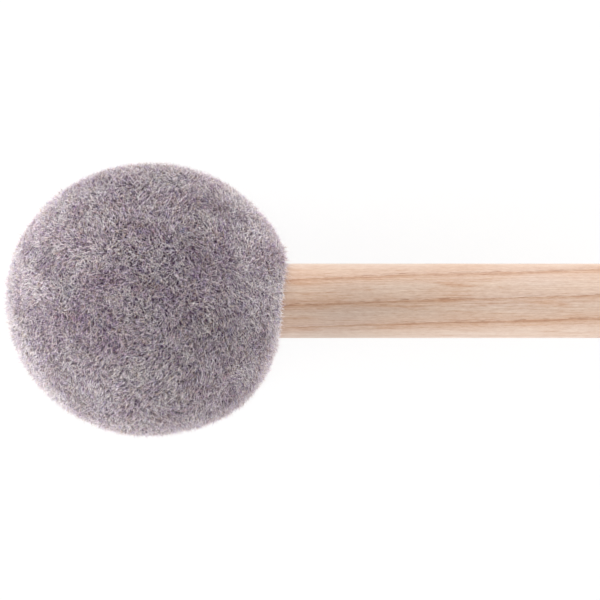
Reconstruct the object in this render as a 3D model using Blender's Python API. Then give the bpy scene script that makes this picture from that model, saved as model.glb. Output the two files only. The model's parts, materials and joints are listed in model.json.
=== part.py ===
"""Ball-headed felt mallet for a field drum, lying on a table.

Sizes are in metres. Every piece is drawn along its own +X, from the middle of the head (x = 0) to the butt of
the handle, and hangs under one empty that lays the mallet down on its head and its butt. The world origin is on
the table, under the middle of the mallet.
"""

import math

import bmesh
import bpy
from mathutils import Matrix, Vector

# Head: a slightly long ball of felt round a turned wooden core
HEAD_DIAMETER = 0.0543
HEAD_LENGTH = 0.0577
COVER_THICKNESS = 0.0050
UNDER_FELT_THICKNESS = 0.0045
CORE_SEAT_RIM = 0.0015
CORE_FRONT_RIM = 0.0007
CORE_FRONT_WALL = 0.0100

# Play between pieces that are glued, pressed or sewn together
FIT_GAP = 0.0003

# Handle: a straight dowel with a grooved tenon that is glued into the core
MALLET_LENGTH = 0.3800
SHAFT_DIAMETER = 0.0150
BUTT_ROUNDING = 0.0020
TENON_DIAMETER = 0.0110
GLUE_GROOVES = 3
GLUE_GROOVE_WIDTH = 0.0012
GLUE_GROOVE_DEPTH = 0.0005
GLUE_GROOVE_SPACING = 0.0035

# Neck: the cover's mouth closes on the shaft, drawn in by a thread that is wound inside it
LIP_ROUNDING = 0.0012
LIP_LAND = 0.0014
GATHER_DIAMETER = 0.0006
GATHER_TURN_GAP = 0.00045
GATHER_TURNS = 2

# Countersunk wood screw that pulls the core on to the tenon
SCREW_LENGTH = 0.0250
SCREW_DIAMETER = 0.0035
SCREW_HEAD_DIAMETER = 0.0070
SCREW_HEAD_RIM = 0.0003
SCREW_SHANK = 0.0070
SCREW_PITCH = 0.0018
SCREW_THREAD_DEPTH = 0.0005
SCREW_RIDGE_SHARE = 0.7
SCREW_TIP_LENGTH = 0.0030
SCREW_TIP_DIAMETER = 0.0004
RECESS_WIDTH = 0.0009
RECESS_SPAN = 0.0038
RECESS_DEPTH = 0.0012
RECESS_TAPER = 0.6

# Facets round each turned piece, and steps along each quarter of a rounded outline
COVER_FACETS = 48
INNER_FACETS = 32
SHAFT_FACETS = 32
SCREW_FACETS = 12
COVER_STEPS = 12
INNER_STEPS = 8
LIP_STEPS = 3
BUTT_STEPS = 4
RINGS_PER_PITCH = 6
GATHER_POINTS_PER_TURN = 24

# How often the mallet is tipped anew towards the two places where it touches the table
TIPPING_ROUNDS = 4

# Points closer than this are one point, and edges bent by more than this angle in degrees stay crisp
SAME_POINT = 1e-7
CRISP_EDGE = 30.0


def inset(half_sizes, depth):
    """The half sizes of a layer that lies that deep inside another."""
    return half_sizes[0] - depth, half_sizes[1] - depth


def reach(half_sizes, radius):
    """How far along the shaft a layer reaches at a distance from the axis."""
    return half_sizes[0] * math.sqrt(1 - (radius / half_sizes[1]) ** 2)


# Each layer of the head: half its size along the shaft, and half its size across
COVER_OUTSIDE = (HEAD_LENGTH / 2, HEAD_DIAMETER / 2)
COVER_INSIDE = inset(COVER_OUTSIDE, COVER_THICKNESS)
UNDER_FELT_OUTSIDE = inset(COVER_INSIDE, FIT_GAP)
UNDER_FELT_INSIDE = inset(UNDER_FELT_OUTSIDE, UNDER_FELT_THICKNESS)
CORE_OUTSIDE = inset(UNDER_FELT_INSIDE, FIT_GAP)

# Places along the shaft, from the neck inwards
SHAFT_RADIUS = SHAFT_DIAMETER / 2
BORE_RADIUS = SHAFT_RADIUS + FIT_GAP
BUTT = MALLET_LENGTH - COVER_OUTSIDE[0]
MOUTH = reach(COVER_OUTSIDE, BORE_RADIUS + LIP_ROUNDING)
POCKET_END = MOUTH - LIP_ROUNDING - LIP_LAND
GATHER_LINE_RADIUS = BORE_RADIUS + GATHER_DIAMETER / 2
POCKET_RADIUS = GATHER_LINE_RADIUS + GATHER_DIAMETER / 2 + FIT_GAP
GATHER_PITCH = GATHER_DIAMETER + GATHER_TURN_GAP
GATHER_LAST = POCKET_END - FIT_GAP - GATHER_DIAMETER / 2
GATHER_FIRST = GATHER_LAST - GATHER_TURNS * GATHER_PITCH
UNDER_FELT_BACK = min(
    GATHER_FIRST - GATHER_DIAMETER / 2 - FIT_GAP,
    reach(UNDER_FELT_OUTSIDE, BORE_RADIUS),
)
CORE_SEAT = reach(CORE_OUTSIDE, SHAFT_RADIUS + CORE_SEAT_RIM)
SHOULDER = CORE_SEAT + FIT_GAP

# The screw's seat in the core's front, and the end of the tenon behind it; the sink is as much wider than the
# screw's cone as keeps the same play square to the cone
SCREW_RADIUS = SCREW_DIAMETER / 2
SCREW_HEAD_RADIUS = SCREW_HEAD_DIAMETER / 2
SCREW_HOLE_RADIUS = SCREW_RADIUS + FIT_GAP
SINK_RADIUS = SCREW_HEAD_RADIUS + FIT_GAP
CORE_FRONT = -reach(CORE_OUTSIDE, SINK_RADIUS + CORE_FRONT_RIM)
SCREW_HEAD = CORE_FRONT + FIT_GAP
SINK_CONE = SCREW_HEAD + SCREW_HEAD_RIM + (math.sqrt(2) - 1) * FIT_GAP
SCREW_TIP = SCREW_HEAD + SCREW_LENGTH
CORE_BORE_END = CORE_FRONT + CORE_FRONT_WALL
TENON_RADIUS = TENON_DIAMETER / 2
TENON_END = CORE_BORE_END + FIT_GAP


def arc(centre_x, centre_radius, size, start, end, steps):
    """Outline points on a circular arc; angle 0 points along +X and 90 away from the axis, in degrees."""
    points = []
    for i in range(steps + 1):
        angle = math.radians(start + (end - start) * i / steps)
        points.append((centre_x + size * math.cos(angle), centre_radius + size * math.sin(angle)))
    return points


def layer_arc(half_sizes, start_x, end_x, steps):
    """Outline points along one layer of the head, from one place on the shaft to another."""
    start = math.acos(-start_x / half_sizes[0])
    end = math.acos(-end_x / half_sizes[0])
    points = []
    for i in range(steps + 1):
        angle = start + (end - start) * i / steps
        points.append((-half_sizes[0] * math.cos(angle), half_sizes[1] * math.sin(angle)))
    return points


def layer_outline(half_sizes, start_x, end_x, steps):
    """The same over both halves of the head, with a point at its widest place."""
    return layer_arc(half_sizes, start_x, 0.0, steps)[:-1] + layer_arc(half_sizes, 0.0, end_x, steps)


def finish_mesh(name, shape, material, parent):
    """Turns a bmesh into a named, smooth-shaded object that lies with the mallet."""
    bmesh.ops.recalc_face_normals(shape, faces=shape.faces)
    mesh = bpy.data.meshes.new(name)
    shape.to_mesh(mesh)
    shape.free()
    mesh.shade_smooth()
    mesh.set_sharp_from_angle(angle=math.radians(CRISP_EDGE))
    mesh.materials.append(material)
    piece = bpy.data.objects.new(name, mesh)
    bpy.context.scene.collection.objects.link(piece)
    piece.parent = parent
    return piece


def turned(name, outline, facets, material, parent):
    """A turned piece: an outline of (x, radius) points, spun round the shaft's axis.

    An outline that starts and ends on the axis closes there, and any other outline closes on itself as a ring.
    A flat facet, and not an edge, faces the table.
    """
    shape = bmesh.new()
    half_facet = Matrix.Rotation(math.pi / facets, 3, "X")
    verts = [shape.verts.new(half_facet @ Vector((x, 0.0, radius))) for x, radius in outline]
    edges = [shape.edges.new(pair) for pair in zip(verts, verts[1:])]
    if outline[0][1] > 0.0:
        edges.append(shape.edges.new((verts[-1], verts[0])))
    bmesh.ops.spin(
        shape,
        geom=verts + edges,
        cent=(0.0, 0.0, 0.0),
        axis=(1.0, 0.0, 0.0),
        angle=math.tau,
        steps=facets,
        use_merge=True,
    )
    bmesh.ops.remove_doubles(shape, verts=shape.verts, dist=SAME_POINT)
    return finish_mesh(name, shape, material, parent)


def cover_outline():
    """Over the ball, round the lip, in past the thread's pocket and back along the inside."""
    outside = layer_outline(COVER_OUTSIDE, -COVER_OUTSIDE[0], MOUTH, COVER_STEPS)
    lip = arc(MOUTH - LIP_ROUNDING, BORE_RADIUS + LIP_ROUNDING, LIP_ROUNDING, 0, -90, LIP_STEPS)
    pocket = [(POCKET_END, BORE_RADIUS), (POCKET_END, POCKET_RADIUS)]
    back = reach(COVER_INSIDE, POCKET_RADIUS)
    inside = layer_outline(COVER_INSIDE, -COVER_INSIDE[0], back, INNER_STEPS)
    return outside[:-1] + lip + pocket + inside[::-1]


def under_felt_front_outline():
    """The cup of hard felt over the front half of the core."""
    middle = -FIT_GAP / 2
    outside = layer_arc(UNDER_FELT_OUTSIDE, -UNDER_FELT_OUTSIDE[0], middle, INNER_STEPS)
    inside = layer_arc(UNDER_FELT_INSIDE, -UNDER_FELT_INSIDE[0], middle, INNER_STEPS)
    return outside + inside[::-1]


def under_felt_rear_outline():
    """The collar of hard felt over the rear half, bored for the shaft and trimmed short of the thread."""
    middle = FIT_GAP / 2
    seat = CORE_SEAT + FIT_GAP
    outside = layer_arc(UNDER_FELT_OUTSIDE, middle, UNDER_FELT_BACK, INNER_STEPS)
    inside = layer_arc(UNDER_FELT_INSIDE, middle, seat, INNER_STEPS)
    bore = [(UNDER_FELT_BACK, BORE_RADIUS), (seat, BORE_RADIUS)]
    return outside + bore + inside[::-1]


def core_outline():
    """The wooden core: drilled and countersunk in front for the screw, bored from the back for the tenon."""
    tenon_bore = TENON_RADIUS + FIT_GAP
    sink_end = SINK_CONE + SINK_RADIUS - SCREW_HOLE_RADIUS
    screw_seat = [
        (CORE_BORE_END, SCREW_HOLE_RADIUS),
        (sink_end, SCREW_HOLE_RADIUS),
        (SINK_CONE, SINK_RADIUS),
        (CORE_FRONT, SINK_RADIUS),
    ]
    outside = layer_outline(CORE_OUTSIDE, CORE_FRONT, CORE_SEAT, INNER_STEPS)
    bore = [(CORE_SEAT, tenon_bore), (CORE_BORE_END, tenon_bore)]
    return screw_seat + outside + bore


def glue_groove(middle):
    """Outline of one groove round the tenon, from its handle side to its front."""
    half_mouth = GLUE_GROOVE_WIDTH / 2
    half_floor = half_mouth - GLUE_GROOVE_DEPTH
    floor = TENON_RADIUS - GLUE_GROOVE_DEPTH
    return [
        (middle + half_mouth, TENON_RADIUS),
        (middle + half_floor, floor),
        (middle - half_floor, floor),
        (middle - half_mouth, TENON_RADIUS),
    ]


def shaft_outline():
    """Butt, handle, shoulder, grooved tenon, and the hole in its end for the screw."""
    butt = [(BUTT, 0.0)] + arc(
        BUTT - BUTT_ROUNDING, SHAFT_RADIUS - BUTT_ROUNDING, BUTT_ROUNDING, 0, 90, BUTT_STEPS
    )
    shoulder = [(SHOULDER, SHAFT_RADIUS), (SHOULDER, TENON_RADIUS)]
    grooves = []
    for i in range(GLUE_GROOVES):
        from_middle = (GLUE_GROOVES - 1) / 2 - i
        grooves += glue_groove((SHOULDER + TENON_END) / 2 + from_middle * GLUE_GROOVE_SPACING)
    hole_end = SCREW_TIP + FIT_GAP
    hole = [
        (TENON_END, TENON_RADIUS),
        (TENON_END, SCREW_HOLE_RADIUS),
        (hole_end, SCREW_HOLE_RADIUS),
        (hole_end, 0.0),
    ]
    return butt + shoulder + grooves + hole


def screw_outline():
    """The screw without its thread's ridge: head, cone and shank, then the root up to the point."""
    cone_end = SCREW_HEAD + SCREW_HEAD_RIM + SCREW_HEAD_RADIUS - SCREW_RADIUS
    thread_start = SCREW_HEAD + SCREW_SHANK
    root = SCREW_RADIUS - SCREW_THREAD_DEPTH
    places = [
        (SCREW_HEAD, SCREW_HEAD_RADIUS),
        (SCREW_HEAD + SCREW_HEAD_RIM, SCREW_HEAD_RADIUS),
        (cone_end, SCREW_RADIUS),
        (thread_start, SCREW_RADIUS),
    ]
    rings = round((SCREW_TIP - thread_start) / SCREW_PITCH * RINGS_PER_PITCH)
    for i in range(1, rings + 1):
        places.append((thread_start + (SCREW_TIP - thread_start) * i / rings, root))
    return places


def thread_ridge(x, turn):
    """How far the thread stands out of its root at a place, where turn is the share of a turn round it."""
    if x <= SCREW_HEAD + SCREW_SHANK:
        return 0.0
    from_crest = abs((x / SCREW_PITCH - turn) % 1.0 - 0.5)
    return SCREW_THREAD_DEPTH * max(0.0, 1.0 - 2.0 * from_crest / SCREW_RIDGE_SHARE)


def recess_cutter(material, parent):
    """The tapered cross that is struck into the screw's head."""
    arm = RECESS_SPAN / 2
    half = RECESS_WIDTH / 2
    cross = []
    for quarter in range(4):
        turn = Matrix.Rotation(quarter * math.pi / 2, 2)
        cross += [turn @ Vector(corner) for corner in ((arm, half), (half, half), (half, arm))]
    shape = bmesh.new()
    rings = []
    for x, share in ((SCREW_HEAD - RECESS_DEPTH, 1.0), (SCREW_HEAD + RECESS_DEPTH, RECESS_TAPER)):
        rings.append([shape.verts.new((x, corner.x * share, corner.y * share)) for corner in cross])
        shape.faces.new(rings[-1])
    for i in range(len(cross)):
        j = (i + 1) % len(cross)
        shape.faces.new((rings[0][i], rings[1][i], rings[1][j], rings[0][j]))
    cutter = finish_mesh("recess_cutter", shape, material, parent)
    cutter.hide_render = True
    cutter.display_type = "WIRE"
    return cutter


def make_screw(material, parent):
    """The wood screw, whose thread is a ridge that climbs round its root."""
    shape = bmesh.new()
    rings = []
    for x, radius in screw_outline():
        taper = min(1.0, (SCREW_TIP - x) / SCREW_TIP_LENGTH)
        ring = []
        for i in range(SCREW_FACETS):
            turn = i / SCREW_FACETS
            size = max((radius + thread_ridge(x, turn)) * taper, SCREW_TIP_DIAMETER / 2)
            angle = turn * math.tau
            ring.append(shape.verts.new((x, size * math.cos(angle), size * math.sin(angle))))
        rings.append(ring)
    shape.faces.new(rings[0])
    shape.faces.new(rings[-1])
    for lower, upper in zip(rings, rings[1:]):
        for i in range(SCREW_FACETS):
            j = (i + 1) % SCREW_FACETS
            shape.faces.new((lower[i], upper[i], upper[j], lower[j]))
    screw = finish_mesh("core_screw", shape, material, parent)
    recess = screw.modifiers.new("recess", "BOOLEAN")
    recess.operation = "DIFFERENCE"
    recess.object = recess_cutter(material, parent)
    return screw


def gather_points():
    """The line of the gathering thread, wound along the shaft inside the cover's mouth."""
    points = []
    for i in range(GATHER_TURNS * GATHER_POINTS_PER_TURN + 1):
        turn = i / GATHER_POINTS_PER_TURN
        angle = turn * math.tau
        x = GATHER_FIRST + turn * GATHER_PITCH
        points.append((x, GATHER_LINE_RADIUS * math.sin(angle), GATHER_LINE_RADIUS * math.cos(angle)))
    return points


def least_gap(points, diameter, points_per_turn):
    """The least gap between one turn of a wound line and another."""
    nearest = math.inf
    for i, here in enumerate(points):
        for there in points[i + points_per_turn // 2:]:
            nearest = min(nearest, math.dist(here, there))
    return nearest - diameter


def make_gather_thread(material, parent):
    """The waxed thread as one unbroken tube."""
    points = gather_points()
    curve = bpy.data.curves.new("gather_thread", "CURVE")
    curve.dimensions = "3D"
    curve.bevel_depth = GATHER_DIAMETER / 2
    curve.bevel_resolution = 1
    curve.use_fill_caps = True
    line = curve.splines.new("POLY")
    line.points.add(len(points) - 1)
    for point, place in zip(line.points, points):
        point.co = (*place, 1.0)
    curve.materials.append(material)
    thread = bpy.data.objects.new("gather_thread", curve)
    bpy.context.scene.collection.objects.link(thread)
    thread.parent = parent
    gap = least_gap(points, GATHER_DIAMETER, GATHER_POINTS_PER_TURN)
    print(f"gather_thread: least gap between its turns {gap * 1000:.2f} mm")
    return thread


def make_material(name, colour, roughness, metallic=0.0):
    """A plain finish, its colour in linear red, green and blue."""
    material = bpy.data.materials.new(name)
    material.use_nodes = True
    shader = material.node_tree.nodes["Principled BSDF"]
    shader.inputs["Base Color"].default_value = (*colour, 1.0)
    shader.inputs["Roughness"].default_value = roughness
    shader.inputs["Metallic"].default_value = metallic
    return material


def below_axis(outline, facets):
    """An outline's points as (x, depth under the axis), where a flat facet is lowest."""
    flat = math.cos(math.pi / facets)
    return [(x, radius * flat) for x, radius in outline]


def lowest(points, angle):
    """The point of an outline that comes lowest when the mallet is tipped by an angle."""
    return max(points, key=lambda point: point[0] * math.sin(angle) + point[1] * math.cos(angle))


def make_cradle():
    """The empty that lays the mallet on the table, with the world origin under the middle of its box."""
    head = below_axis(cover_outline(), COVER_FACETS)
    handle = below_axis(shaft_outline(), SHAFT_FACETS)
    angle = 0.0
    for _ in range(TIPPING_ROUNDS):
        head_x, head_depth = lowest(head, angle)
        butt_x, butt_depth = lowest(handle, angle)
        angle = math.atan2(head_depth - butt_depth, butt_x - head_x)
    height = head_x * math.sin(angle) + head_depth * math.cos(angle)
    front = min(x * math.cos(angle) - depth * math.sin(angle) for x, depth in head)
    back = max(x * math.cos(angle) + depth * math.sin(angle) for x, depth in handle)
    cradle = bpy.data.objects.new("cradle", None)
    bpy.context.scene.collection.objects.link(cradle)
    cradle.location = (-(front + back) / 2, 0.0, height)
    cradle.rotation_euler = (0.0, angle, 0.0)
    return cradle


def main():
    for old in list(bpy.data.objects):
        bpy.data.objects.remove(old)
    soft_felt = make_material("soft_felt", (0.23, 0.18, 0.22), 0.95)
    hard_felt = make_material("hard_felt", (0.62, 0.58, 0.50), 0.90)
    hickory = make_material("hickory", (0.62, 0.45, 0.33), 0.42)
    beech = make_material("beech", (0.58, 0.36, 0.22), 0.60)
    zinc_plated_steel = make_material("zinc_plated_steel", (0.55, 0.56, 0.58), 0.30, 1.0)
    waxed_thread = make_material("waxed_thread", (0.30, 0.25, 0.26), 0.55)

    cradle = make_cradle()
    turned("shaft", shaft_outline(), SHAFT_FACETS, hickory, cradle)
    turned("core", core_outline(), INNER_FACETS, beech, cradle)
    make_screw(zinc_plated_steel, cradle)
    turned("under_felt_front", under_felt_front_outline(), INNER_FACETS, hard_felt, cradle)
    turned("under_felt_rear", under_felt_rear_outline(), INNER_FACETS, hard_felt, cradle)
    turned("cover", cover_outline(), COVER_FACETS, soft_felt, cradle)
    make_gather_thread(waxed_thread, cradle)


main()
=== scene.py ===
import json
import math
from functools import partial

import bmesh
import bpy
import numpy as np
from mathutils import Matrix, Vector, noise


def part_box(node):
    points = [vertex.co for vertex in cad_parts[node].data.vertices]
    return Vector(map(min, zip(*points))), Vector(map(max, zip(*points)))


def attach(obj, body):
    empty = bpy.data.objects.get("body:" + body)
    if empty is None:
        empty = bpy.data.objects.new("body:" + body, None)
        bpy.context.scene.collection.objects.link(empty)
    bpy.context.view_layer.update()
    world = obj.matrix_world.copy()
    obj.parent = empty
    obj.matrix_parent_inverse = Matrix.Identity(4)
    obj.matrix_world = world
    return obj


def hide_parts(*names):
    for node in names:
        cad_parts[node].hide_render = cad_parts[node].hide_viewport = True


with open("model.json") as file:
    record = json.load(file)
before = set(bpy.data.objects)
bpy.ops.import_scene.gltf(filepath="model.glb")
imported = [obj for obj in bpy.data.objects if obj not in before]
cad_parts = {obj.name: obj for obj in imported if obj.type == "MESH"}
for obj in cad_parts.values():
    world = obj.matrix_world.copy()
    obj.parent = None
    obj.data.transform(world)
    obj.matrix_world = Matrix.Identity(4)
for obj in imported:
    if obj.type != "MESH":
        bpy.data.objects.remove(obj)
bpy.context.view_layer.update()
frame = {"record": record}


# Where the mallet lies, read from the frame: the mount is the butt's flat end, its axis runs along the handle
buttMount = next(m for m in frame["record"]["mounts"] if m["name"] == "butt_face")
buttCentre = Vector(buttMount["pos_m"])
handleAxis = Vector(buttMount["axis"]).normalized()
tipAngle = math.atan2(-handleAxis.z, handleAxis.x)

ball = {
    "length": 0.0577,         # along the handle
    "diameter": 0.0543,       # across it
    "mouthRadius": 0.0078,    # the hole that the handle goes through
    "lipRounding": 0.0013,
    "napDepth": 0.0006,       # how deep the matted ground lies under the nap's surface
    "wall": 0.005,            # the felt's thickness
    "innerStart": 147.6,      # degrees from the front pole, where the round inside begins
    "throat": ((0.004, 0.0), (0.006, 0.003)),  # inwards from the lip, and out from the mouth's radius
    "innerEdge": 1.01,        # what lies below it, in shares of the inside's radius, stays smooth
    "sideShift": 0.00026,     # the felt sits a hair off the handle's axis
    "shiftEnd": 0.0286,       # up to here, and less and less over the stretch before
    "shiftFade": 0.022,
    "mouthSlant": 0.12,       # its mouth isn't cut quite square
    "neckPull": 0.0014,       # the gather thread pulls the felt in round the mouth
    "neckStart": 0.018,       # from here on, and fully after the stretch that follows
    "neckFade": 0.010,
    "lumps": ((90.0, 0.00022), (420.0, 0.00016)),  # how many per metre, and how high
    "along": 150,             # steps of the outline from pole to mouth
    "lipSteps": 8,
    "innerSteps": 29,
    "around": 300,
}
ballHalf = Vector((ball["length"] / 2, ball["diameter"] / 2))
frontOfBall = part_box("cover")[0].x
ballReach = math.hypot(ballHalf.x * handleAxis.x, ballHalf.y * handleAxis.z)
ballCentre = buttCentre - handleAxis * ((buttCentre.x - frontOfBall - ballReach) / handleAxis.x)
handleEnd = (buttCentre - ballCentre).length
# from the mallet's own axes, which start in the ball's middle, to the frame
lying = Matrix.Translation(ballCentre) @ Matrix.Rotation(tipAngle, 4, "Y")


def linear(hexColour):
    parts = [int(hexColour[i:i + 2], 16) / 255 for i in (1, 3, 5)]
    return (*[c / 12.92 if c <= 0.04045 else ((c + 0.055) / 1.055) ** 2.4 for c in parts], 1.0)


def feed(tree, node, inputs):
    # Inputs go to the node's live sockets, in their order or by name. Each is a value, a socket, or a node,
    # whose first live output is linked
    live = [socket for socket in node.inputs if socket.enabled]
    if isinstance(inputs, dict):
        live = [next(socket for socket in live if socket.name == name) for name in inputs]
        inputs = inputs.values()
    for socket, value in zip(live, inputs):
        if isinstance(value, bpy.types.Node):
            value = next(output for output in value.outputs if output.enabled)
        if isinstance(value, bpy.types.NodeSocket):
            tree.links.new(value, socket)
        else:
            socket.default_value = value


def addNode(tree, kind, inputs=(), stops=(), **settings):
    node = tree.nodes.new(kind)
    for name, value in settings.items():
        setattr(node, name, value)
    if stops:
        marks = node.color_ramp.elements
        while len(marks) < len(stops):
            marks.new(0.5)
        for mark, (place, colour) in zip(marks, stops):
            mark.position = place
            mark.color = linear(colour)
    feed(tree, node, inputs)
    return node


def newMaterial(name, shaderInputs):
    material = bpy.data.materials.new(name)
    material.use_nodes = True
    tree = material.node_tree
    shader = tree.nodes["Principled BSDF"]
    feed(tree, shader, shaderInputs)
    return material, tree, shader


def malletCoordinates(tree):
    # millimetres along and across the handle, from the middle of the ball
    place = addNode(tree, "ShaderNodeTexCoord").outputs["Object"]
    own = addNode(tree, "ShaderNodeMapping", {
        "Vector": place, "Location": ballCentre, "Rotation": (0.0, tipAngle, 0.0),
    }, vector_type="TEXTURE")
    return addNode(tree, "ShaderNodeVectorMath", (own, 1000.0), operation="SCALE")


def grainNoise(tree, place, size, detail, roughness=0.5):
    # blots drawn out along the handle, of that length and width in mm
    long, wide = size
    scale = (1 / long, 1 / wide, 1 / wide)
    drawn = addNode(tree, "ShaderNodeVectorMath", (place, scale), operation="MULTIPLY")
    return addNode(tree, "ShaderNodeTexNoise", {
        "Vector": drawn, "Scale": 1.0, "Detail": detail, "Roughness": roughness,
    })


def addPiece(name, mesh, material=None):
    piece = bpy.data.objects.new(name, mesh)
    bpy.context.scene.collection.objects.link(piece)
    if material:
        mesh.materials.append(material)
    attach(piece, "root")
    return piece


def lathe(name, outline, around):
    # outline points are (along, from the axis) in metres; one that starts and ends on the axis closes there
    onAxis = 1e-7
    shape = bmesh.new()
    rings = []
    turns = [math.tau * i / around for i in range(around)]
    for along, radius in outline:
        if radius < onAxis:
            rings.append([shape.verts.new((along, 0.0, 0.0))] * around)
        else:
            ring = [(along, radius * math.cos(a), radius * math.sin(a)) for a in turns]
            rings.append([shape.verts.new(corner) for corner in ring])
    if outline[0][1] > onAxis:
        rings.append(rings[0])
    for first, second in zip(rings, rings[1:]):
        for i in range(around):
            j = (i + 1) % around
            corners = list(dict.fromkeys((first[i], first[j], second[j], second[i])))
            if len(corners) > 2:
                shape.faces.new(corners)
    bmesh.ops.recalc_face_normals(shape, faces=shape.faces)
    mesh = bpy.data.meshes.new(name)
    shape.to_mesh(mesh)
    shape.free()
    mesh.shade_smooth()
    return mesh


def arc(alongCentre, radiusCentre, size, start, end, steps):
    angles = [math.radians(start + (end - start) * i / steps) for i in range(steps + 1)]
    return [(alongCentre + size * math.cos(a), radiusCentre + size * math.sin(a)) for a in angles]


# The camera looks straight down on the lying mallet, from far away, as the photograph does
view = {
    "lens": 400.0,
    "sensor": 36.0,
    "imageSize": 600,              # pixels
    "pixel": 0.0002011,            # metres, at the ball's middle
    "ballPixel": (150.0, 300.8),
}


def setCamera():
    scene = bpy.context.scene
    data = bpy.data.cameras.new("camera")
    data.lens = view["lens"]
    data.sensor_width = view["sensor"]
    camera = bpy.data.objects.new("camera", data)
    scene.collection.objects.link(camera)
    middle = view["imageSize"] / 2
    width = view["imageSize"] * view["pixel"]
    distance = width / view["sensor"] * view["lens"]
    camera.location = (
        ballCentre.x + (middle - view["ballPixel"][0]) * view["pixel"],
        ballCentre.y + (view["ballPixel"][1] - middle) * view["pixel"],
        ballCentre.z + distance,
    )
    data.clip_start = distance / 100
    data.clip_end = distance * 10
    scene.camera = camera
    scene.view_settings.view_transform = "Standard"
    print("camera:", round(distance, 3), "m above the ball's middle")


# Four soft boxes stand low round the table, the left one brightest. One above and the white room fill in
lights = {
    "room": 0.13,
    "aim": 0.02,               # metres from the ball's middle towards the butt
    "distance": 3.0,
    "boxes": {
        # name: (compass angle, height angle, width, height, watts)
        "left": (187.0, 14.0, 2.7, 1.3, 169.0),
        "far": (90.0, 16.0, 3.0, 1.3, 74.0),
        "near": (-90.0, 16.0, 3.0, 1.3, 36.0),
        "right": (0.0, 16.0, 2.3, 1.3, 106.0),
        "above": (0.0, 90.0, 2.4, 2.4, 6.0),
    },
}


def seenDirectly(tree, other, seen):
    # a value for the rays that light things, and another for what the eye, a mirror or a glass sees
    add = partial(addNode, tree)
    path = add("ShaderNodeLightPath").outputs
    sight = add("ShaderNodeMath", (path["Is Camera Ray"], path["Is Glossy Ray"]), operation="MAXIMUM")
    sight = add("ShaderNodeMath", (sight, path["Is Transmission Ray"]), operation="MAXIMUM")
    return add("ShaderNodeMath", (sight, seen - other, other), operation="MULTIPLY_ADD")


def setLights():
    scene = bpy.context.scene
    aim = ballCentre + Vector((lights["aim"], 0.0, 0.0))
    for name, (compass, height, boxWidth, boxHeight, watts) in lights["boxes"].items():
        data = bpy.data.lights.new(name, "AREA")
        data.shape = "RECTANGLE"
        data.size = boxWidth
        data.size_y = boxHeight
        data.energy = watts
        box = bpy.data.objects.new(name, data)
        scene.collection.objects.link(box)
        flat = math.radians(compass)
        up = math.radians(height)
        way = Vector((math.cos(flat) * math.cos(up), math.sin(flat) * math.cos(up), math.sin(up)))
        box.location = aim + way * lights["distance"]
        box.rotation_euler = way.to_track_quat("Z", "Y").to_euler()
        box.visible_camera = False
        box.visible_glossy = False  # low boxes would glare on the lacquer; the white room shows in it instead
    world = bpy.data.worlds.new("room")
    world.use_nodes = True
    tree = world.node_tree
    feed(tree, tree.nodes["Background"], {
        "Color": (1.0, 1.0, 1.0, 1.0), "Strength": seenDirectly(tree, lights["room"], 1.0),
    })
    scene.world = world
    print("lights:", len(lights["boxes"]), "boxes")


floorSheet = {
    "reach": 1.9,              # metres to each side
    "colour": "#f2f1f0",
    "glow": 0.82,              # what the eye sees of it in any case
    "shadow": 0.19,            # and what light adds, which a shadow takes away
}


def layFloor():
    mesh = bpy.data.meshes.new("floor")
    reach = floorSheet["reach"]
    corners = [(-reach, -reach, 0.0), (reach, -reach, 0.0), (reach, reach, 0.0), (-reach, reach, 0.0)]
    mesh.from_pydata(corners, [], [(0, 1, 2, 3)])
    floor = bpy.data.objects.new("floor", mesh)
    bpy.context.scene.collection.objects.link(floor)
    # Seamless paper, matt: it looks white, keeps a faint shadow, and sends a pale light back up
    material, tree, shader = newMaterial("seamless paper, matt", {
        "Roughness": 0.9, "Emission Color": (1.0, 1.0, 1.0, 1.0),
    })
    paper = linear(floorSheet["colour"])
    seenPaper = (floorSheet["shadow"],) * 3 + (1.0,)
    shade = addNode(tree, "ShaderNodeMix", (seenDirectly(tree, 0.0, 1.0), paper, seenPaper), data_type="RGBA")
    glow = seenDirectly(tree, 0.0, floorSheet["glow"])
    feed(tree, shader, {"Base Color": shade, "Emission Strength": glow})
    mesh.materials.append(material)
    print("floor: laid")


handle = {
    "radius": 0.0075,
    "buttRounding": 0.0020,
    "flatEnd": 0.3,           # share of the radius where the end's outer face begins
    "tenonRadius": 0.0055,
    "shoulder": 0.0162,       # from the ball's middle
    "tenonEnd": -0.0078,
    "around": 128,
    "lengthwise": 90,
    "roundingSteps": 12,
}

# Millimetres. A pair is a blot's length and width
hickory = {
    "ringSpacing": 4.6,
    "ringTurn": 9.0,          # degrees that the rings lean round the handle
    "ringDrift": 0.031,       # how far they run off the handle's axis, in each mm
    "ringShift": 0.6,         # places a ring's edge near the axis
    "ringWander": 0.8,
    "wander": (76.92, 16.67),
    "ringRagged": 0.8,
    "ragged": (10.0, 0.8333),
    "cloud": (22.22, 4.545),
    "warmPatch": (14.29, 1.333),
    "streak": (11.11, 0.20),
    "mottle": (1.538, 0.3125),
    "pore": (2.6, 0.16),      # real pores are finer than a pixel, so they are drawn this wide
    "endGrain": (2.0, 0.3333),
    "endDepth": 0.6,          # how far in from the butt the end grain shows
    # gain and offset of the noises, before they are cut to 0 and 1
    "cloudMix": (1.6, -0.5),
    "warmMix": (3.6, -2.0),
    "poreRowMix": (-7.0, 0.95),
    # shares
    "poreRowAt": 0.05,        # where in a ring its row of pores lies
    "poreLevel": (-0.26, 0.77),  # how high the noise must rise for a pore: less by the first in a row
    "poreEdge": 14.0,         # gain that makes a pore's edge sharp
    "poreDepth": 0.65,
    "streakDepth": 0.85,
    "mottleDepth": 0.8,
    "endDark": 0.75,
}


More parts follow.
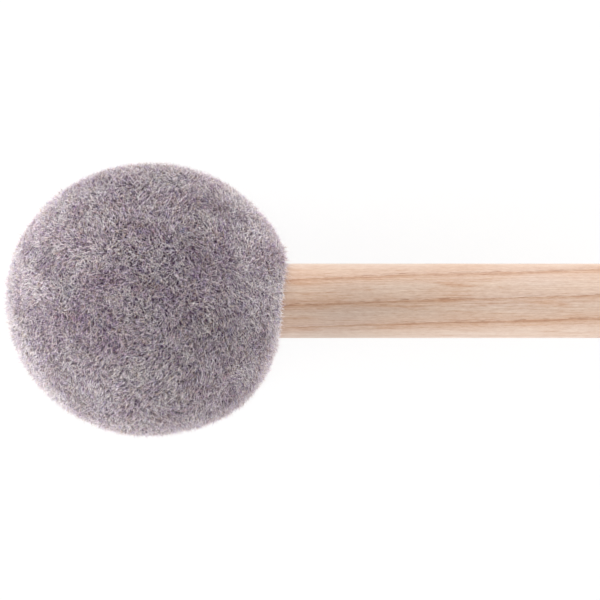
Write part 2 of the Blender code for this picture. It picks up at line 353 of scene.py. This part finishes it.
def ringPlace(tree, place):
    # how far through its growth ring a point lies, from 0 to 1; rings lean, drift, wander and are ragged
    add = partial(addNode, tree)
    axes = add("ShaderNodeSeparateXYZ", (place,)).outputs
    lean = math.radians(hickory["ringTurn"])
    across = hickory["ringShift"]
    for axis, amount in (("Z", math.sin(lean)), ("Y", math.cos(lean)), ("X", -hickory["ringDrift"])):
        across = add("ShaderNodeMath", (axes[axis], amount, across), operation="MULTIPLY_ADD")
    wander = grainNoise(tree, place, hickory["wander"], 1.5)
    ragged = grainNoise(tree, place, hickory["ragged"], 4.0, 0.65)
    for blots, amount in ((wander, 2 * hickory["ringWander"]), (ragged, hickory["ringRagged"])):
        swing = add("ShaderNodeMath", (blots, 0.5), operation="SUBTRACT")
        across = add("ShaderNodeMath", (swing, amount, across), operation="MULTIPLY_ADD")
    turns = add("ShaderNodeMath", (across, hickory["ringSpacing"]), operation="DIVIDE")
    return add("ShaderNodeMath", (turns,), operation="FRACT")


def openPores(tree, place, ring):
    # short dark dashes, crowded in rows along each ring's edge and rare elsewhere
    add = partial(addNode, tree)
    pores = grainNoise(tree, place, hickory["pore"], 1.0)
    turned = add("ShaderNodeMath", (ring, 0.5 - hickory["poreRowAt"]), operation="ADD")
    turned = add("ShaderNodeMath", (turned,), operation="FRACT")
    fromRow = add("ShaderNodeMath", (turned, 0.5), operation="SUBTRACT")
    fromRow = add("ShaderNodeMath", (fromRow,), operation="ABSOLUTE")
    rows = add("ShaderNodeMath", (fromRow, *hickory["poreRowMix"]), operation="MULTIPLY_ADD", use_clamp=True)
    level = add("ShaderNodeMath", (rows, *hickory["poreLevel"]), operation="MULTIPLY_ADD")
    above = add("ShaderNodeMath", (pores, level), operation="SUBTRACT")
    return add("ShaderNodeMath", (above, hickory["poreEdge"]), operation="MULTIPLY", use_clamp=True)


def hickoryLacquered():
    # Hickory, a pale ring-porous wood, sanded and lacquered satin: soft pinkish streaks, and thin red-brown
    # lines with rows of open pores at each ring's edge, under a skin that shines a little
    material, tree, shader = newMaterial("hickory, sanded and satin lacquered", {
        "Roughness": 0.5, "IOR": 1.5, "Sheen Weight": 0.15, "Sheen Roughness": 0.5,
    })
    add = partial(addNode, tree)
    place = malletCoordinates(tree)
    ring = ringPlace(tree, place)
    wood = add("ShaderNodeValToRGB", (ring,), stops=[
        (0.000, "#b08568"), (0.020, "#bd967b"), (0.055, "#caaa94"), (0.300, "#cfb29d"), (0.600, "#d2b9a6"),
        (0.790, "#ceb19d"), (0.815, "#c19d85"), (0.850, "#ccae98"), (0.955, "#c5a28a"), (1.000, "#b08568"),
    ])
    paler = add("ShaderNodeValToRGB", (ring,), stops=[
        (0.0, "#c9ac99"), (0.05, "#d5c1b5"), (0.9, "#d2bdb0"), (1.0, "#c9ac99"),
    ])
    cloud = grainNoise(tree, place, hickory["cloud"], 2.0)
    cloud = add("ShaderNodeMath", (cloud, *hickory["cloudMix"]), operation="MULTIPLY_ADD", use_clamp=True)
    wood = add("ShaderNodeMix", (cloud, wood, paler), data_type="RGBA")
    warm = grainNoise(tree, place, hickory["warmPatch"], 3.0, 0.6)
    warm = add("ShaderNodeMath", (warm, *hickory["warmMix"]), operation="MULTIPLY_ADD", use_clamp=True)
    wood = add("ShaderNodeMix", (warm, wood, linear("#bd9173")), data_type="RGBA")

    # fine streaks, and the mottling that short fibres give
    streaks = grainNoise(tree, place, hickory["streak"], 4.0, 0.6)
    mottle = grainNoise(tree, place, hickory["mottle"], 3.0, 0.7)
    for blots, depth, stops in (
        (streaks, hickory["streakDepth"], [(0.25, "#9a8a80"), (0.5, "#bcbcbc"), (0.75, "#dcdad8")]),
        (mottle, hickory["mottleDepth"], [(0.28, "#9c8f86"), (0.5, "#bcbcbc"), (0.72, "#dad9d8")]),
    ):
        shade = add("ShaderNodeValToRGB", (blots,), stops=stops)
        wood = add("ShaderNodeMix", (depth, wood, shade), data_type="RGBA", blend_type="SOFT_LIGHT")
    pores = openPores(tree, place, ring)
    depth = add("ShaderNodeMath", (pores, hickory["poreDepth"]), operation="MULTIPLY")
    wood = add("ShaderNodeMix", (depth, wood, linear("#96694a")), data_type="RGBA")

    # end grain drinks the lacquer and turns darker
    along = add("ShaderNodeSeparateXYZ", (place,)).outputs["X"]
    endStart = handleEnd * 1000 - hickory["endDepth"]
    atEnd = add("ShaderNodeMath", (along, 2.0, -2.0 * endStart), operation="MULTIPLY_ADD", use_clamp=True)
    atEnd = add("ShaderNodeMath", (atEnd, hickory["endDark"]), operation="MULTIPLY")
    endGrain = grainNoise(tree, place, hickory["endGrain"], 3.0)
    endWood = add("ShaderNodeValToRGB", (endGrain,), stops=[(0.35, "#80604a"), (0.65, "#a98a70")])
    wood = add("ShaderNodeMix", (atEnd, wood, endWood), data_type="RGBA")

    relief = add("ShaderNodeMath", (pores, -1.2, streaks), operation="MULTIPLY_ADD")
    bump = add("ShaderNodeBump", {"Strength": 0.25, "Distance": 0.00006, "Height": relief})
    feed(tree, shader, {"Base Color": wood, "Normal": bump})
    return material


def makeHandle():
    radius = handle["radius"]
    rounding = handle["buttRounding"]
    roundingStart = handleEnd - rounding
    outline = [(handleEnd, 0.0), (handleEnd, radius * handle["flatEnd"])]
    outline += arc(roundingStart, radius - rounding, rounding, 0, 90, handle["roundingSteps"])
    steps = handle["lengthwise"]
    for i in range(1, steps + 1):
        outline.append((roundingStart + (handle["shoulder"] - roundingStart) * i / steps, radius))
    outline += [(handle["shoulder"], handle["tenonRadius"]), (handle["tenonEnd"], handle["tenonRadius"])]
    outline += [(handle["tenonEnd"], 0.0)]
    mesh = lathe("handle", outline, handle["around"])
    mesh.set_sharp_from_angle(angle=math.radians(40))
    mesh.transform(lying)
    piece = addPiece("handle", mesh, hickoryLacquered())
    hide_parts("shaft")
    print("handle:", len(mesh.polygons), "faces")


def beechTurned():
    # Beech, turned and left bare: pale pinkish brown with short darker flecks along the grain
    material, tree, shader = newMaterial("beech, turned", {"Roughness": 0.62, "IOR": 1.5})
    add = partial(addNode, tree)
    place = malletCoordinates(tree)
    grain = grainNoise(tree, place, (8.333, 0.7143), 4.0, 0.6)
    wood = add("ShaderNodeValToRGB", (grain,), stops=[
        (0.30, "#b98e68"), (0.52, "#cba27c"), (0.72, "#d9b592"),
    ])
    flecks = grainNoise(tree, place, (1.667, 0.20), 1.0)
    flecks = add("ShaderNodeMath", (flecks, 9.0, -5.9), operation="MULTIPLY_ADD", use_clamp=True)
    wood = add("ShaderNodeMix", (flecks, wood, linear("#96694a")), data_type="RGBA")
    bump = add("ShaderNodeBump", {"Strength": 0.3, "Distance": 0.00005, "Height": grain})
    feed(tree, shader, {"Base Color": wood, "Normal": bump})
    return material


def steelZincPlated():
    # Steel, zinc plated bright: cool grey metal, and the bath leaves it faintly cloudy, about 1 mm across
    material, tree, shader = newMaterial("steel, zinc plated", {"Metallic": 1.0})
    add = partial(addNode, tree)
    cloud = add("ShaderNodeTexNoise", {"Vector": malletCoordinates(tree), "Scale": 0.9, "Detail": 3.0})
    metal = add("ShaderNodeValToRGB", (cloud,), stops=[(0.3, "#b3b7ba"), (0.7, "#d2d4d3")])
    roughness = add("ShaderNodeMath", (cloud, 0.25, 0.2), operation="MULTIPLY_ADD")
    feed(tree, shader, {"Base Color": metal, "Roughness": roughness})
    return material


def woolFeltPressed():
    # Wool pressed hard into felt: undyed off-white, with matted fibres about 0.5 mm apart in the surface
    material, tree, shader = newMaterial("wool felt, pressed", {"Roughness": 0.92, "Specular IOR Level": 0.2})
    add = partial(addNode, tree)
    mat = add("ShaderNodeTexNoise", {
        "Vector": malletCoordinates(tree), "Scale": 2.0, "Detail": 4.0, "Roughness": 0.65, "Distortion": 1.2,
    })
    wool = add("ShaderNodeValToRGB", (mat,), stops=[(0.3, "#a9a093"), (0.5, "#c9c1b4"), (0.7, "#ded7cb")])
    bump = add("ShaderNodeBump", {"Strength": 0.6, "Distance": 0.00015, "Height": mat})
    feed(tree, shader, {"Base Color": wool, "Normal": bump})
    return material


def threadWaxed():
    # Linen thread drawn through wax: a brownish cream with the twist's fine ribs, about 0.5 mm apart
    material, tree, shader = newMaterial("linen thread, waxed", {"Roughness": 0.45})
    add = partial(addNode, tree)
    twist = add("ShaderNodeTexWave", {
        "Vector": malletCoordinates(tree), "Scale": 0.6, "Distortion": 1.5, "Detail": 1.0,
    }, bands_direction="DIAGONAL").outputs["Fac"]
    linen = add("ShaderNodeValToRGB", (twist,), stops=[(0.0, "#8d7a5f"), (0.5, "#b8a585"), (1.0, "#cdbd9f")])
    bump = add("ShaderNodeBump", {"Strength": 0.5, "Distance": 0.00008, "Height": twist})
    feed(tree, shader, {"Base Color": linen, "Normal": bump})
    return material


def finishInnerPieces():
    felt = woolFeltPressed()
    inner = {
        "core": beechTurned(), "core_screw": steelZincPlated(), "under_felt_front": felt,
        "under_felt_rear": felt, "gather_thread": threadWaxed(),
    }
    for name, material in inner.items():
        for place in bpy.data.objects[name].material_slots:
            place.material = material
    print("inner pieces:", len(inner))


def woolFeltMattedShadePainted():
    # Matted wool under the nap: plum, drawn dark as painted shade, the shade that the nap casts between its
    # fibres; in tufts of about 1 mm and wide clouds, with hardly any shine
    material, tree, shader = newMaterial("wool felt, matted ground, painted dark as nap shade", {
        "Roughness": 0.95, "Specular IOR Level": 0.1,
    })
    add = partial(addNode, tree)
    place = malletCoordinates(tree)
    mat = add("ShaderNodeTexNoise", {"Vector": place, "Scale": 1.1, "Detail": 5.0, "Roughness": 0.65})
    # painted shade: the plum hue is the wool's own, the darkness stands for the shade between the nap's
    # fibres
    felt = add("ShaderNodeValToRGB", (mat,), stops=[(0.30, "#45344a"), (0.50, "#6f5970"), (0.72, "#9786a0")])
    cloud = add("ShaderNodeTexNoise", {"Vector": place, "Scale": 0.09, "Detail": 2.0})
    felt = add("ShaderNodeMix", (cloud, felt, linear("#5d5262")), data_type="RGBA", blend_type="SOFT_LIGHT")
    feed(tree, shader, {"Base Color": felt})
    return material


def ballArc(inset, first, last, steps):
    # points of the ball's half outline, drawn in by inset, between two angles from its front pole
    points = []
    for i in range(steps + 1):
        angle = first + (last - first) * i / steps
        points.append((-(ballHalf.x - inset) * math.cos(angle), (ballHalf.y - inset) * math.sin(angle)))
    return points


def ballDistance(at, inset):
    # from the ball's middle, where 1 is the ball's outline drawn in by inset
    return math.hypot(at[0] / (ballHalf.x - inset), math.hypot(at[1], at[2]) / (ballHalf.y - inset))


def ballOutline():
    # over the matted ground from the front pole to the mouth, round the lip, and back along the inside
    mouth = ball["mouthRadius"]
    rounding = ball["lipRounding"]
    mouthAngle = math.asin((mouth + rounding) / ballHalf.y)
    outer = ballArc(ball["napDepth"], 0.0, math.pi - mouthAngle, ball["along"])
    outer[0] = (outer[0][0], 0.0)
    lip = arc(outer[-1][0] - rounding, mouth + rounding, rounding, 0, -90, ball["lipSteps"])
    lipAt = ballHalf.x * math.cos(mouthAngle)
    throat = [(lipAt - inwards, mouth + wider) for inwards, wider in ball["throat"]]
    inner = ballArc(ball["wall"], math.radians(ball["innerStart"]), 0.0, ball["innerSteps"])
    inner[-1] = (inner[-1][0], 0.0)
    return outer[:-1] + lip + throat + inner


def shapeByHand(mesh):
    # a felt ball isn't turned: it is a little lumpy, off the axis, and drawn in at the neck
    places = np.empty(len(mesh.vertices) * 3, np.float64)
    mesh.vertices.foreach_get("co", places)
    places = places.reshape(-1, 3)
    for i, place in enumerate(places):
        if ballDistance(place, ball["wall"]) < ball["innerEdge"]:
            continue
        at = Vector(place)
        out = at.normalized()
        at += out * sum(noise.noise(at * perMetre) * high for perMetre, high in ball["lumps"])
        neck = min(max(0.0, (at.x - ball["neckStart"]) / ball["neckFade"]) ** 2, 1.0)
        at.x += (at.y * ball["mouthSlant"] - ball["neckPull"]) * neck
        places[i] = at
    places[:, 1] += ball["sideShift"] * np.clip((ball["shiftEnd"] - places[:, 0]) / ball["shiftFade"], 0, 1)
    mesh.vertices.foreach_set("co", places.ravel())


def makeBall():
    mesh = lathe("feltBall", ballOutline(), ball["around"])
    shapeByHand(mesh)
    mesh.transform(lying)
    piece = addPiece("feltBall", mesh, woolFeltMattedShadePainted())
    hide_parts("cover")
    print("felt ball:", len(mesh.polygons), "faces")
    return piece


# Nap: wool fibres teased out of the felt. Real ones are 0.03 mm thick and cling together in strands, so each
# is drawn as a strand. Lengths in metres, counts per square centimetre, angles in degrees from lying flat.
# Spread, lift and thick are shares of the length, and tone is the stretch of the wool lots that a kind takes
nap = {
    "underNap": {"pieces": 4, "count": 190, "length": 0.0013, "spread": 0.40, "lift": 0.18, "thick": 0.048,
                 "tilt": (0.0, 28.0), "combing": 0.5, "tone": (0.02, 0.84)},
    "topNap": {"pieces": 4, "count": 190, "length": 0.0012, "spread": 0.45, "lift": 0.24, "thick": 0.044,
               "tilt": (8.0, 54.0), "combing": 0.5, "tone": (0.22, 0.85)},
    "looseHairs": {"pieces": 1, "count": 20, "length": 0.0028, "spread": 0.4, "lift": 0.10, "thick": 0.020,
                   "tilt": (4.0, 20.0), "combing": 0.2, "tone": (0.62, 0.84)},
    "fuzz": {"pieces": 1, "count": 205, "length": 0.0015, "spread": 0.5, "lift": 0.35, "thick": 0.018,
             "tilt": (-4.0, 60.0), "combing": 0.3, "tone": (0.66, 0.855)},
    "neckStrays": {"pieces": 1, "count": 190, "length": 0.0023, "spread": 0.50, "lift": 0.20, "thick": 0.022,
                   "tilt": (10.0, 60.0), "combing": 3.0, "tone": (0.60, 0.84), "flow": (1.0, 0.0, 0.0),
                   "from": 0.0258},
}
napFlow = (-0.35, -1.0, -0.15)  # the way that the nap is brushed
napRoots = {
    "firstSeed": 18,
    "seedStep": 7,
    "deepest": 0.004,         # metres inside the ball's outline that nap still grows
    "boreMargin": 0.0002,     # none grows in the mouth
    "swirlSize": 9.09,        # mm, over which the brushing turns
    "swirl": 2.6,             # and how strongly, beside a flow of 1
    "flowMiddle": 0.55,       # the flow at the ball's middle,
    "flowFall": -0.035,       # and what each mm towards the far side adds
    "pressedLow": 0.0007,     # metres above the table, where nap is pressed flat,
    "pressedHigh": 0.0032,    # and where it stands freely
    "pressedShare": 0.05,
    "tableGap": 0.00003,
}
fibre = {
    "bends": 5,               # ways of bending
    "segments": 2,
    "swing": 0.6,             # how far a fibre bends sideways
    "swingBack": 0.35,        # and how much of that it first goes the other way
    "hook": (0.15, 0.25),     # how much its run bends over at the tip, and how much more it may
    "mapWidth": 0.024,        # of the UV map, once round a fibre
    "mapLength": 0.96,
    "mapRise": 0.02,
}
woolLots = {
    "cloudSize": 5.5,         # mm, over which the lots change
    "cloudContrast": 2.0,
    "chance": 0.45,           # what chance adds to or takes from a fibre's place among the lots
    "patchSize": 2.857,       # mm, patches with and without the rare lots
    "patchLevel": 0.47,
    # share of the fibres in a patch, and place on the colour ramp
    "rare": {
        "brown": (0.060, 0.875), "blueGrey": (0.045, 0.91), "rose": (0.025, 0.945), "straw": (0.045, 0.98),
    },
}


def woolCarded():
    # Wool, carded from mixed lots: the map's u picks the lot, and v runs from painted shade at the root,
    # where the nap shades itself, to a painted highlight at the pale tip.
    # Its scales scatter light, so it has a strong sheen and little gloss
    material, tree, shader = newMaterial("wool fibre, carded, painted root shade and tip highlight", {
        "Roughness": 0.75, "Specular IOR Level": 0.25, "Sheen Weight": 0.9, "Sheen Roughness": 0.5,
    })
    add = partial(addNode, tree)
    axes = add("ShaderNodeSeparateXYZ", (add("ShaderNodeUVMap", uv_map="OFBake"),)).outputs
    lots = add("ShaderNodeValToRGB", (axes["X"],), stops=[
        (0.00, "#7d5c80"), (0.10, "#a98a78"), (0.20, "#ae92cc"), (0.30, "#dac3b0"), (0.42, "#dccaf0"),
        (0.54, "#f2e8dc"), (0.68, "#f3f1f2"), (0.855, "#fcfdf9"), (0.865, "#a07f64"), (0.890, "#a07f64"),
        (0.897, "#9aa1c4"), (0.925, "#9aa1c4"), (0.932, "#e0b3bc"), (0.962, "#e0b3bc"), (0.968, "#e3d1b2"),
        (1.0, "#e3d1b2"),
    ])
    # painted light along each fibre: painted shade darkens it towards the root, a painted highlight whitens
    # its tip
    shade = add("ShaderNodeValToRGB", (axes["Y"],), stops=[
        (0.0, "#533a59"), (0.35, "#ac9bac"), (0.66, "#fffafb"),
    ])
    wool = add("ShaderNodeMix", (1.0, lots, shade), data_type="RGBA", blend_type="MULTIPLY")
    feed(tree, shader, {"Base Color": wool})
    return material


def fibreShape(tree, number, thickness, lift):
    # a three-sided spike one unit long, bent over towards +X; each number bends its own way
    add = partial(addNode, tree)
    spike = add("GeometryNodeMeshCone", {
        "Vertices": 3, "Side Segments": fibre["segments"], "Radius Top": 0.0, "Radius Bottom": 1.0,
        "Depth": 1.0,
    }, fill_type="NGON")
    axes = add("ShaderNodeSeparateXYZ", (add("GeometryNodeInputPosition"),)).outputs
    side = add("ShaderNodeMath", (axes["Y"], axes["X"]), operation="ARCTAN2")
    side = add("ShaderNodeMath", (side, 1 / math.tau, 1.0), operation="MULTIPLY_ADD")
    side = add("ShaderNodeMath", (side,), operation="FRACT")
    kept = add("GeometryNodeCaptureAttribute", {"Geometry": spike})
    kept.capture_items.new("FLOAT", "along")
    kept.capture_items.new("FLOAT", "side")
    feed(tree, kept, {"along": axes["Z"], "side": side})

    # its spine runs forward, sideways and up with the height along the spike
    height = axes["Z"]
    square = add("ShaderNodeMath", (height, height), operation="MULTIPLY")
    leastHook, moreHook = fibre["hook"]
    hook = leastHook + moreHook * ((number * 2) % fibre["bends"]) / fibre["bends"]
    straight = add("ShaderNodeMath", (height, 1.0 - hook), operation="MULTIPLY")
    forward = add("ShaderNodeMath", (square, hook, straight), operation="MULTIPLY_ADD")
    swing = (number / (fibre["bends"] - 1) - 0.5) * fibre["swing"]
    sideways = add("ShaderNodeMath", (height, fibre["swingBack"]), operation="MULTIPLY")
    sideways = add("ShaderNodeMath", (square, sideways), operation="SUBTRACT")
    sideways = add("ShaderNodeMath", (sideways, swing), operation="MULTIPLY")
    up = add("ShaderNodeMath", (2.0, height), operation="SUBTRACT")
    up = add("ShaderNodeMath", (height, up), operation="MULTIPLY")
    up = add("ShaderNodeMath", (up, lift), operation="MULTIPLY")
    spine = add("ShaderNodeCombineXYZ", (forward, sideways, up))

    # and its girth stands round that spine
    thick = add("ShaderNodeMath", (height, 1.0), operation="ADD")
    thick = add("ShaderNodeMath", (thick, thickness), operation="MULTIPLY")
    girth = add("ShaderNodeCombineXYZ", {
        "Y": add("ShaderNodeMath", (axes["X"], thick), operation="MULTIPLY"),
        "Z": add("ShaderNodeMath", (axes["Y"], thick), operation="MULTIPLY"),
    })
    place = add("ShaderNodeVectorMath", (spine, girth), operation="ADD")
    bent = add("GeometryNodeSetPosition", {"Geometry": kept.outputs["Geometry"], "Position": place})
    return mapFibre(tree, bent, kept.outputs["along"], kept.outputs["side"])


def mapFibre(tree, shape, along, side):
    # u goes once round the fibre and v along it, a little uneven, so that the root's face has an area there
    add = partial(addNode, tree)
    width = add("ShaderNodeMath", (side, fibre["mapWidth"]), operation="MULTIPLY")
    ridge = add("ShaderNodeMath", (side, 3.0, -1.0), operation="MULTIPLY_ADD")
    ridge = add("ShaderNodeMath", (ridge,), operation="ABSOLUTE")
    ridge = add("ShaderNodeMath", (1.0, ridge), operation="SUBTRACT")
    ridge = add("ShaderNodeMath", (ridge, fibre["mapRise"]), operation="MULTIPLY")
    lengthways = add("ShaderNodeMath", (along, fibre["mapLength"], ridge), operation="MULTIPLY_ADD")
    uv = add("ShaderNodeCombineXYZ", (width, lengthways))
    return add("GeometryNodeStoreNamedAttribute", {"Geometry": shape, "Name": "OFBake", "Value": uv},
               data_type="FLOAT2", domain="CORNER")


def combed(tree, given, own, out, seeds):
    # the way that each fibre lies: brushed one way, more so on the near side, with swirls and strays
    add = partial(addNode, tree)
    swirl = add("ShaderNodeTexNoise", {"Vector": own, "Scale": 1 / napRoots["swirlSize"], "Detail": 1.0})
    swirl = add("ShaderNodeVectorMath", (swirl.outputs["Color"], (0.5, 0.5, 0.5)), operation="SUBTRACT")
    swirl = add("ShaderNodeVectorMath", (swirl, napRoots["swirl"]), operation="SCALE")
    height = add("ShaderNodeSeparateXYZ", (own,)).outputs["Y"]
    near = add("ShaderNodeMath", (height, napRoots["flowFall"], napRoots["flowMiddle"]),
               operation="MULTIPLY_ADD", use_clamp=True)
    strength = add("ShaderNodeMath", (near, given["Combing"]), operation="MULTIPLY")
    flow = add("ShaderNodeVectorMath", (given["Flow"], strength), operation="SCALE")
    stray = add("FunctionNodeRandomValue", {"Min": (-1.0,) * 3, "Max": (1.0,) * 3, "Seed": seeds["stray"]},
                data_type="FLOAT_VECTOR")
    comb = add("ShaderNodeVectorMath", (flow, swirl), operation="ADD")
    comb = add("ShaderNodeVectorMath", (comb, stray), operation="ADD")
    return add("FunctionNodeAxesToRotation", (out, comb), primary_axis="Z", secondary_axis="X")


def woolLot(tree, given, own, seeds):
    # which lot of wool each fibre is, in clouds over the ball, with a few odd colours
    add = partial(addNode, tree)
    cloud = add("ShaderNodeTexNoise", {
        "Vector": own, "Scale": 1 / woolLots["cloudSize"], "Detail": 3.0, "Roughness": 0.6,
    })
    chance = add("FunctionNodeRandomValue", {
        "Min": -woolLots["chance"], "Max": woolLots["chance"], "Seed": seeds["chance"],
    }, data_type="FLOAT")
    share = add("ShaderNodeMath", (cloud, 0.5), operation="SUBTRACT")
    share = add("ShaderNodeMath", (share, woolLots["cloudContrast"], 0.5), operation="MULTIPLY_ADD")
    share = add("ShaderNodeMath", (share, chance), operation="ADD", use_clamp=True)
    tone = add("ShaderNodeMapRange", {
        "Value": share, "To Min": given["Tone Low"], "To Max": given["Tone High"],
    })
    draw = add("FunctionNodeRandomValue", {"Min": 0.0, "Max": 1.0, "Seed": seeds["draw"]}, data_type="FLOAT")
    patch = add("ShaderNodeTexNoise", {"Vector": own, "Scale": 1 / woolLots["patchSize"], "Detail": 1.0})
    patch = add("ShaderNodeSeparateXYZ", (patch.outputs["Color"],)).outputs
    start = 0.0
    for number, (amount, place) in enumerate(woolLots["rare"].values()):
        above = add("ShaderNodeMath", (draw, start), operation="GREATER_THAN")
        start += amount
        below = add("ShaderNodeMath", (draw, start), operation="LESS_THAN")
        here = add("ShaderNodeMath", (patch[number % 3], woolLots["patchLevel"]), operation="GREATER_THAN")
        rare = add("ShaderNodeMath", (above, below), operation="MULTIPLY")
        rare = add("ShaderNodeMath", (rare, here), operation="MULTIPLY")
        tone = add("ShaderNodeMix", (rare, tone, place))
    return tone


def napTree(material):
    tree = bpy.data.node_groups.new("nap", "GeometryNodeTree")
    add = partial(addNode, tree)
    sockets = {}
    face = tree.interface
    face.new_socket("Geometry", in_out="INPUT", socket_type="NodeSocketGeometry")
    face.new_socket("Geometry", in_out="OUTPUT", socket_type="NodeSocketGeometry")
    kinds = dict.fromkeys(("Density", "Length", "Spread", "Lift", "Thickness", "Tilt Low", "Tilt High",
                           "Combing", "Tone Low", "Tone High"), "Float")
    for name, kind in {**kinds, "Flow": "Vector", "Seed": "Int"}.items():
        sockets[name] = face.new_socket(name, in_out="INPUT", socket_type="NodeSocket" + kind).identifier
    given = add("NodeGroupInput").outputs
    seeds = {}
    for step, use in enumerate(("stray", "tilt", "size", "bend", "chance", "draw"), 1):
        seeds[use] = add("FunctionNodeIntegerMath", (given["Seed"], 100 * step), operation="ADD")

    # roots, spread over the ball, and how much the table presses each down
    points = add("GeometryNodeDistributePointsOnFaces", {
        "Mesh": given["Geometry"], "Density": given["Density"], "Seed": given["Seed"],
    }, distribute_method="RANDOM")
    root = add("GeometryNodeInputPosition")
    own = add("ShaderNodeVectorMath", (root, tuple(ballCentre)), operation="SUBTRACT")
    own = add("ShaderNodeVectorMath", (own, 1000.0), operation="SCALE")
    pressed = add("ShaderNodeMapRange", {
        "Value": add("ShaderNodeSeparateXYZ", (root,)).outputs["Z"], "From Min": napRoots["pressedLow"],
        "From Max": napRoots["pressedHigh"], "To Min": napRoots["pressedShare"], "To Max": 1.0,
    })

    # each fibre's lean and size
    turned = combed(tree, given, own, points.outputs["Normal"], seeds)
    tilt = add("FunctionNodeRandomValue", {
        "Min": given["Tilt Low"], "Max": given["Tilt High"], "Seed": seeds["tilt"],
    }, data_type="FLOAT")
    tilt = add("ShaderNodeMath", (tilt,), operation="RADIANS")
    tilt = add("ShaderNodeMath", (tilt, pressed), operation="MULTIPLY")
    lean = add("FunctionNodeEulerToRotation", (add("ShaderNodeCombineXYZ", {"Y": tilt}),))
    turned = add("FunctionNodeRotateRotation", (turned, lean), rotation_space="LOCAL")
    size = add("FunctionNodeRandomValue", {
        "Min": add("ShaderNodeMath", (1.0, given["Spread"]), operation="SUBTRACT"),
        "Max": add("ShaderNodeMath", (1.0, given["Spread"]), operation="ADD"), "Seed": seeds["size"],
    }, data_type="FLOAT")
    size = add("ShaderNodeMath", (given["Length"], size), operation="MULTIPLY")
    height = add("ShaderNodeMath", (size, pressed), operation="MULTIPLY")
    scale = add("ShaderNodeCombineXYZ", (size, size, height))

    # fibres on the roots, each one of the bent shapes
    joined = add("GeometryNodeJoinGeometry")
    for number in reversed(range(fibre["bends"])):
        shape = fibreShape(tree, number, given["Thickness"], given["Lift"])
        feed(tree, joined, (add("GeometryNodeGeometryToInstance", (shape,)),))
    fibres = add("GeometryNodeInstanceOnPoints", {
        "Points": points.outputs["Points"], "Instance": joined, "Pick Instance": True, "Rotation": turned,
        "Instance Index": add("FunctionNodeRandomValue", {
            "Min": 0, "Max": fibre["bends"] - 1, "Seed": seeds["bend"],
        }, data_type="INT"),
        "Scale": scale,
    })
    lot = woolLot(tree, given, own, seeds)
    fibres = add("GeometryNodeStoreNamedAttribute", {"Geometry": fibres, "Name": "lot", "Value": lot},
                 data_type="FLOAT", domain="INSTANCE")
    real = add("GeometryNodeRealizeInstances", {"Geometry": fibres})

    # the lot moves a fibre's map along u, and no fibre goes through the table
    lot = add("GeometryNodeInputNamedAttribute", {"Name": "lot"}, data_type="FLOAT")
    uv = add("GeometryNodeInputNamedAttribute", {"Name": "OFBake"}, data_type="FLOAT_VECTOR")
    moved = add("ShaderNodeVectorMath", (uv, add("ShaderNodeCombineXYZ", (lot,))), operation="ADD")
    real = add("GeometryNodeStoreNamedAttribute", {"Geometry": real, "Name": "OFBake", "Value": moved},
               data_type="FLOAT2", domain="CORNER")
    lowest = (-1.0, -1.0, napRoots["tableGap"])
    onTable = add("ShaderNodeVectorMath", (add("GeometryNodeInputPosition"), lowest), operation="MAXIMUM")
    real = add("GeometryNodeSetPosition", {"Geometry": real, "Position": onTable})
    real = add("GeometryNodeSetShadeSmooth", (real,))
    real = add("GeometryNodeSetMaterial", {"Geometry": real, "Material": material})
    add("NodeGroupOutput", (real,))
    return tree, sockets


def napGround(feltBall, start):
    # the ball's outside from start on, without its lip's inner side, which grows no nap
    inward = lying.inverted()
    shape = bmesh.new()
    shape.from_mesh(feltBall.data)
    bore = ball["mouthRadius"] + napRoots["boreMargin"]
    for face in list(shape.faces):
        at = inward @ face.calc_center_median()
        inside = ballDistance(at, napRoots["deepest"]) < 1.0
        inMouth = at.x > 0 and math.hypot(at.y, at.z) < bore
        if inside or inMouth or at.x < start:
            shape.faces.remove(face)
    mesh = bpy.data.meshes.new("napGround")
    shape.to_mesh(mesh)
    shape.free()
    return mesh


def growNap(feltBall):
    tree, sockets = napTree(woolCarded())
    seed = napRoots["firstSeed"]
    total = 0
    for kind, wool in nap.items():
        ground = napGround(feltBall, wool.get("from", -1.0))
        for number in range(wool["pieces"]):
            carrier = bpy.data.objects.new("carrier", ground)
            bpy.context.scene.collection.objects.link(carrier)
            grow = carrier.modifiers.new("nap", "NODES")
            grow.node_group = tree
            values = {
                "Density": wool["count"] * 1e4, "Length": wool["length"], "Spread": wool["spread"],
                "Lift": wool["lift"], "Thickness": wool["thick"], "Tilt Low": -wool["tilt"][1],
                "Tilt High": -wool["tilt"][0], "Combing": wool["combing"], "Tone Low": wool["tone"][0],
                "Tone High": wool["tone"][1], "Flow": wool.get("flow", napFlow), "Seed": seed,
            }
            for name, value in values.items():
                grow[sockets[name]] = value
            grown = carrier.evaluated_get(bpy.context.evaluated_depsgraph_get())
            mesh = bpy.data.meshes.new_from_object(grown)
            bpy.data.objects.remove(carrier)
            mesh.attributes.remove(mesh.attributes["lot"])
            addPiece(f"{kind}_{number + 1}", mesh)
            triangles = sum(len(p.vertices) - 2 for p in mesh.polygons)
            total += triangles
            seed += napRoots["seedStep"]
            print(f"{kind} {number + 1}: {triangles} triangles")
        bpy.data.meshes.remove(ground)
    print("nap:", total, "triangles")


setCamera()
setLights()
layFloor()
makeHandle()
finishInnerPieces()
growNap(makeBall())
